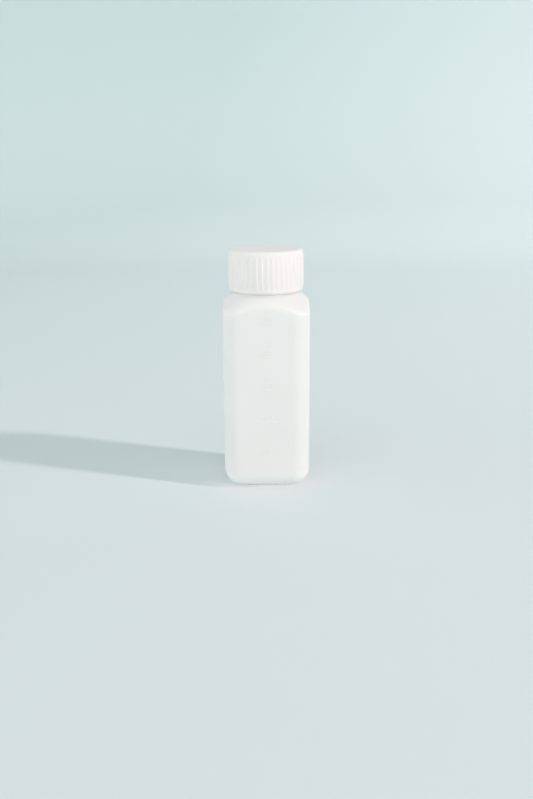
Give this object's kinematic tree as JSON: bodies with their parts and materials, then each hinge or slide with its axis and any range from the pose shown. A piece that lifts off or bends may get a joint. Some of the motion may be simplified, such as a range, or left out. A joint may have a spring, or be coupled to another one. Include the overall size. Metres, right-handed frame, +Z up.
{
  "type": "square media bottle",
  "caption": "Square plastic laboratory bottle with domed shoulder and a ribbed screw cap that turns and rises on its thread, sealed by a foam liner.",
  "frame": {"origin": "middle of the base, on the surface the bottle stands on", "axes": "+Z up along the axis of the neck, the wall with the graduations faces -Y"},
  "size_m": [0.0532, 0.0533, 0.1468],
  "materials": {
    "bottle_plastic": "natural milky polyethylene, satin, slightly translucent",
    "cap_plastic": "warm white polypropylene, fine satin",
    "liner_foam": "white foamed polyethylene, dull"
  },
  "bodies": {
    "bottle": {"bottle": "bottle_plastic"},
    "liner": {"liner": "liner_foam"},
    "cap": {"cap": "cap_plastic"}
  },
  "joints": [
    {"name": "cap_rise", "type": "slide", "parent": "bottle", "child": "liner", "axis": [0, 0, 1], "range_m": [0, 0.0339]},
    {"name": "cap_turn", "type": "hinge", "parent": "liner", "child": "cap", "pos_m": [0, 0, 0.1434], "axis": [0, 0, 1], "range_deg": [0, 2880]}
  ],
  "couplings": [
    {"joint": "cap_rise", "follows": "cap_turn", "m_per_rad": 0.0006737}
  ]
}
